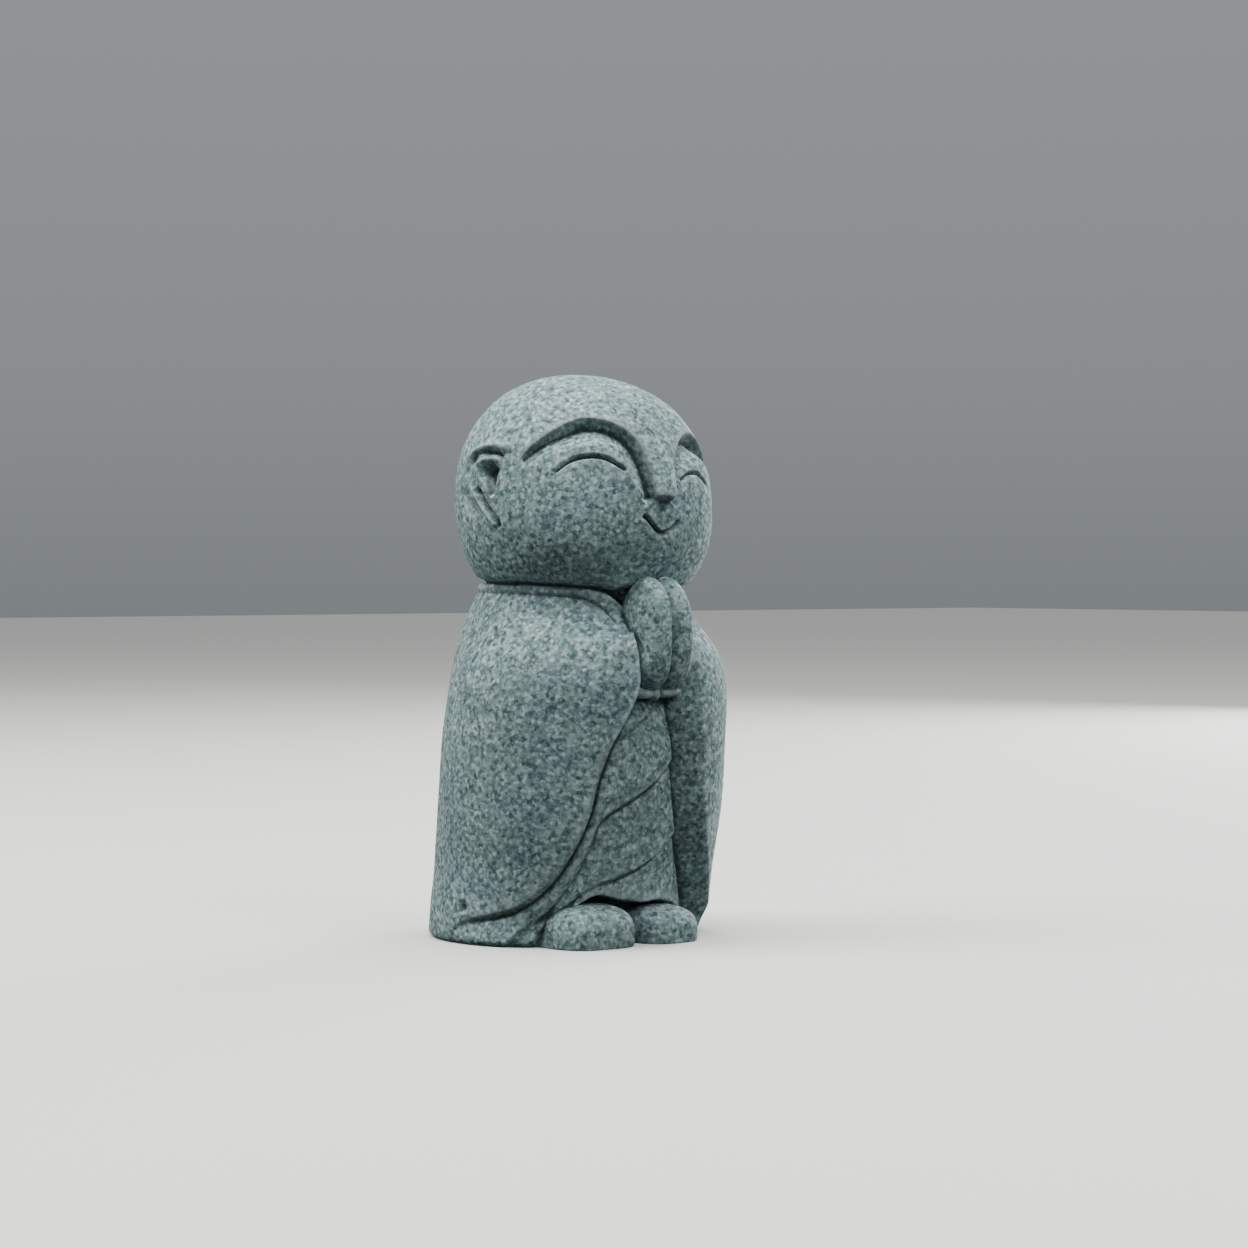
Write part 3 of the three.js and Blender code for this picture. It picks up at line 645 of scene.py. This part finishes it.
thinned = bpy.data.meshes.new_from_object(robe.evaluated_get(bpy.context.evaluated_depsgraph_get()))
robe.modifiers.clear()
robe.data = thinned
robe.name = "cast_monk"
robe.data.name = "cast_monk"

skin = np.zeros(len(robe.data.vertices) * 3)
robe.data.vertices.foreach_get("co", skin)
skin = skin.reshape(-1, 3)
normals = np.zeros(len(skin) * 3)
robe.data.vertices.foreach_get("normal", normals)
normals = normals.reshape(-1, 3)
edges = np.zeros(len(robe.data.edges) * 2, int)
robe.data.edges.foreach_get("vertices", edges)
edges = edges.reshape(-1, 2)
ends_of = np.concatenate([edges[:, 0], edges[:, 1]])
other_ends = np.concatenate([edges[:, 1], edges[:, 0]])
neighbours = np.bincount(ends_of, minlength=len(skin)).clip(1)


def averaged(values, times):
    """Values of the vertices, averaged with their neighbours so many times."""
    for _ in range(times):
        sums = np.stack([
            np.bincount(ends_of, weights=column[other_ends], minlength=len(skin))
            for column in values.T
        ], axis=1)
        values = 0.5 * values + 0.5 * sums / neighbours[:, None]
    return values


# Painted shade: a darker colour laid in corners and in the carved lines, where shade falls: how much lies at
# each point.
fine_recess = np.einsum("ij,ij->i", averaged(skin, FINE_REACH) - skin, normals) / MM
broad_recess = np.einsum("ij,ij->i", averaged(skin, BROAD_REACH) - skin, normals) / MM
recess = averaged((fine_recess + 0.2 * broad_recess)[:, None], 2)[:, 0]
painted_shade = smooth(recess, 0.07, 0.34)


def paint_shade_along(line, width, amount, side=0):
    """Adds painted shade along a line on the head, to one side of it only if side is 1 or -1."""
    line = line @ lean.T + [0, 0, STATUE_HEIGHT - HEAD_HEIGHT / 2]
    close, apart, along = near_line(skin / MM, normals, line, 3.0)
    if side:
        apart = np.where(apart * side > 0, apart, 3 * apart)
    laid = amount * np.exp(-np.abs(apart / width) ** 2.5) * fade(along, 0.1, 0.04)
    painted_shade[close] = np.maximum(painted_shade[close], laid)


# Painted shade in the lines of the eyes and the mouth, in the ears' lines and hollows, and under each brow
# on the socket's side.
paint_shade_along(head_line(MOUTH), 0.34, 1)
for hand in (-1, 1):
    paint_shade_along(head_line(RIGHT_EYE if hand < 0 else LEFT_EYE, hand), 0.32, 1)
    paint_shade_along(head_line(BROW, hand), 1.5, 0.5, -hand)
    paint_shade_along(head_line(EAR_FOLD, hand), 0.36, 0.8)
    paint_shade_along(head_line(LOBE_LINE, hand), 0.42, 0.8)
    paint_shade_along(head_line(EAR_HOLLOW, hand), 1.2, 0.85)

# Broad unevenness from the hand-made master, and a fine one from the sand in the cast.
uneven = np.array([
    MASTER_WAVE * noise.noise(Vector(p / MM / MASTER_SIZE))
    + SAND_WAVE * noise.noise(Vector(p / MM / SAND_SIZE))
    for p in skin
])
off_floor = smooth(skin[:, 2] / MM, 0.02, 0.6)
skin = skin + normals * (uneven * off_floor * MM)[:, None]
skin[:, 2] = np.maximum(skin[:, 2], 0)
robe.data.vertices.foreach_set("co", skin.ravel())

# Edges that stand out are worn a little paler, but not the foot, which nothing rubs.
worn_edges = averaged(smooth(-fine_recess, 0.08, 0.34)[:, None], 2)[:, 0]
worn_edges *= smooth(skin[:, 2] / MM, 2, 5)
# The first attribute holds the painted shade of corners, lines and brows; the second holds the real wear on
# the edges.
for name, values in (("painted_shade", painted_shade), ("worn", worn_edges)):
    attribute = robe.data.attributes.new(name, "FLOAT", "POINT")
    attribute.data.foreach_set("value", values.astype(np.float32))
robe.data.polygons.foreach_set("use_smooth", np.ones(len(robe.data.polygons), bool))
robe.data.update()
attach(robe, "root")
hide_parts("monk_statue")

# The cast stone. Grey-green stone powder in resin, left matt as it comes from the mould: a grain of light
# and dark sand about 0.8 mm coarse, no gloss, and painted shade in the lines, corners and under the brows.
stone = bpy.data.materials.new("cast_sandstone")
stone.use_nodes = True
tree = stone.node_tree
tree.nodes.clear()


def add(kind, settings=None, inputs=None):
    """Adds a node, with its settings, and its sockets' values or the outputs linked to them."""
    node = tree.nodes.new(kind)
    for name, value in (settings or {}).items():
        setattr(node, name, value)
    for name, value in (inputs or {}).items():
        if isinstance(value, bpy.types.NodeSocket):
            tree.links.new(value, node.inputs[name])
        else:
            node.inputs[name].default_value = value
    return node


def linear(hex_colour):
    """An sRGB hex colour as linear RGBA."""
    parts = [int(hex_colour[i:i + 2], 16) / 255 for i in (1, 3, 5)]
    return [c / 12.92 if c <= 0.04045 else ((c + 0.055) / 1.055) ** 2.4 for c in parts] + [1]


def ramp_of(node, stops):
    """Sets a colour ramp's stops, as [place, hex colour]."""
    elements = node.color_ramp.elements
    while len(elements) < len(stops):
        elements.new(0.5)
    for element, (place, colour) in zip(elements, stops):
        element.position = place
        element.color = linear(colour)


GRAIN = 0.85 * MM  # the sand is finer, and is drawn as coarse as it needs to show
CRUMB = 0.6 * MM
FLECK = 0.45 * MM
PATCH = 9 * MM
GRIT = 0.3 * MM
RELIEF = 0.16 * MM
place = add("ShaderNodeTexCoord").outputs["Object"]
soft_grain = add("ShaderNodeTexNoise", inputs={
    "Vector": place, "Scale": 1 / GRAIN, "Detail": 1.5, "Roughness": 0.5, "Distortion": 0.0,
})
grains = add("ShaderNodeTexVoronoi", {"feature": "SMOOTH_F1"}, {
    "Vector": place, "Scale": 1 / CRUMB, "Smoothness": 0.6, "Randomness": 1.0,
})
each = add("ShaderNodeSeparateColor", inputs={"Color": grains.outputs["Color"]})
grain = add("ShaderNodeMix", inputs={
    0: 0.40, 2: soft_grain.outputs["Fac"], 3: each.outputs["Red"],
})
sand = add("ShaderNodeValToRGB", inputs={"Fac": grain.outputs[0]})
ramp_of(sand, [
    (0.25, "#3f5255"), (0.40, "#5f7679"), (0.51, "#758c8c"), (0.62, "#8ba09f"), (0.76, "#b2c3c0"),
])
fleck_size = add("ShaderNodeTexNoise", inputs={
    "Vector": place, "Scale": 1 / FLECK, "Detail": 1.0, "Roughness": 0.5,
})
fleck = add("ShaderNodeMapRange", inputs={
    "Value": fleck_size.outputs["Fac"], "From Min": 0.60, "From Max": 0.72, "To Min": 0.0, "To Max": 0.45,
})
flecked = add("ShaderNodeMix", {"data_type": "RGBA"}, {
    0: fleck.outputs["Result"], 6: sand.outputs["Color"], 7: linear("#c3ccc6"),
})
patch_noise = add("ShaderNodeTexNoise", inputs={"Vector": place, "Scale": 1 / PATCH, "Detail": 2.0})
patch = add("ShaderNodeMapRange", inputs={
    "Value": patch_noise.outputs["Fac"], "From Min": 0.3, "From Max": 0.7, "To Min": 0.88, "To Max": 1.10,
})
patched = add("ShaderNodeMix", {"data_type": "RGBA", "blend_type": "MULTIPLY"}, {
    0: 1.0, 6: flecked.outputs[2], 7: patch.outputs["Result"],
})
# The dark colour mixed in here is painted shade in corners, carved lines and under the brows.
painted_shade_amount = add("ShaderNodeMath", {"operation": "MULTIPLY"}, {
    0: add("ShaderNodeAttribute", {"attribute_name": "painted_shade"}).outputs["Fac"], 1: 0.9,
})
with_painted_shade = add("ShaderNodeMix", {"data_type": "RGBA"}, {
    0: painted_shade_amount.outputs["Value"], 6: patched.outputs[2], 7: linear("#1d2826"),
})
wear = add("ShaderNodeMath", {"operation": "MULTIPLY"}, {
    0: add("ShaderNodeAttribute", {"attribute_name": "worn"}).outputs["Fac"], 1: 0.3,
})
worn = add("ShaderNodeMix", {"data_type": "RGBA"}, {
    0: wear.outputs["Value"], 6: with_painted_shade.outputs[2], 7: linear("#b4c2be"),
})
fine = add("ShaderNodeTexNoise", inputs={
    "Vector": place, "Scale": 1 / GRIT, "Detail": 2.0, "Roughness": 0.6,
})
relief = add("ShaderNodeMath", {"operation": "MULTIPLY_ADD"}, {
    0: fine.outputs["Fac"], 1: 0.45, 2: grain.outputs[0],
})
bump = add("ShaderNodeBump", inputs={
    "Height": relief.outputs["Value"], "Strength": 0.6, "Distance": RELIEF,
})
surface = add("ShaderNodeBsdfPrincipled", inputs={
    "Base Color": worn.outputs[2], "Normal": bump.outputs["Normal"], "Roughness": 0.92,
    "IOR": 1.5, "Metallic": 0.0, "Specular IOR Level": 0.25,
})
add("ShaderNodeOutputMaterial", inputs={"Surface": surface.outputs["BSDF"]})
robe.data.materials.clear()
robe.data.materials.append(stone)

# The floor, the light and the camera. A plain pale table in a pale room, with soft lamps above,
# behind, at the statue's left and, weakly, in front. The camera stands to its right, level with
# its chest.
floor_mesh = bpy.data.meshes.new("floor")
floor_mesh.from_pydata([[-3, -3, 0], [3, -3, 0], [3, 3, 0], [-3, 3, 0]], [], [(0, 1, 2, 3)])
floor = bpy.data.objects.new("floor", floor_mesh)
bpy.context.scene.collection.objects.link(floor)
paper = bpy.data.materials.new("pale_paper")
paper.use_nodes = True
paper_surface = paper.node_tree.nodes["Principled BSDF"]
paper_surface.inputs["Base Color"].default_value = linear("#d9d8d4")
paper_surface.inputs["Roughness"].default_value = 0.9
floor.data.materials.append(paper)
floor.visible_diffuse = False  # so that the table doesn't light the figure from below

world = bpy.data.worlds.new("room")
bpy.context.scene.world = world
world.use_nodes = True
tree = world.node_tree
up = add("ShaderNodeSeparateXYZ", inputs={"Vector": add("ShaderNodeTexCoord").outputs["Generated"]})
sky = add("ShaderNodeValToRGB", inputs={"Fac": add("ShaderNodeMapRange", inputs={
    "Value": up.outputs["Z"], "From Min": -1.0, "From Max": 1.0,
}).outputs["Result"]})
ramp_of(sky, [(0.30, "#2c3032"), (0.47, "#8b9195"), (0.53, "#a9aeb1"), (0.75, "#cdd2d5"), (0.95, "#ffffff")])
tree.links.new(sky.outputs["Color"], tree.nodes["Background"].inputs["Color"])
tree.nodes["Background"].inputs["Strength"].default_value = 0.66


LAMP_DISTANCE = 0.8


def soft_light(name, azimuth, rise, size, power):
    """A square lamp that faces the statue's middle. Azimuth 0 is in front, 90 at its left."""
    lamp = bpy.data.lights.new(name, "AREA")
    lamp.size = size
    lamp.energy = power
    thing = bpy.data.objects.new(name, lamp)
    across, up = math.radians(azimuth), math.radians(rise)
    towards = Vector((math.sin(across) * math.cos(up), -math.cos(across) * math.cos(up), math.sin(up)))
    middle = Vector((0, 0, 0.5 * STATUE_HEIGHT * MM))
    thing.location = middle + towards * LAMP_DISTANCE
    thing.rotation_euler = (-towards).to_track_quat("-Z", "Y").to_euler()
    bpy.context.scene.collection.objects.link(thing)


soft_light("top_light", 0, 88, 0.6, 9.5)
soft_light("back_light", 240, 45, 0.5, 7.0)
soft_light("side_light", 103, 10, 0.5, 10.0)
soft_light("front_light", 10, 30, 0.5, 2.5)

AZIMUTH = math.radians(-37)  # the camera stands to the statue's right
DISTANCE = 0.5
EYE_HEIGHT = 0.059
FOCAL = 3108  # in pixels of a frame 1248 pixels wide and high
AXIS_COLUMN, HORIZON_ROW, MIDDLE = 583, 568.7, 624  # pixels too
SENSOR = 36
ahead = Vector((-math.sin(AZIMUTH), math.cos(AZIMUTH), 0))
right = Vector((math.cos(AZIMUTH), math.sin(AZIMUTH), 0))
camera_data = bpy.data.cameras.new("camera")
camera_data.sensor_width = SENSOR
camera_data.lens = SENSOR * FOCAL / (2 * MIDDLE)
camera_data.clip_start = 0.01
camera = bpy.data.objects.new("camera", camera_data)
camera.location = -ahead * DISTANCE + Vector((0, 0, EYE_HEIGHT))
aim = ahead + right * (MIDDLE - AXIS_COLUMN) / FOCAL - Vector((0, 0, 1)) * (MIDDLE - HORIZON_ROW) / FOCAL
camera.rotation_euler = aim.to_track_quat("-Z", "Y").to_euler()
bpy.context.scene.collection.objects.link(camera)
bpy.context.scene.camera = camera
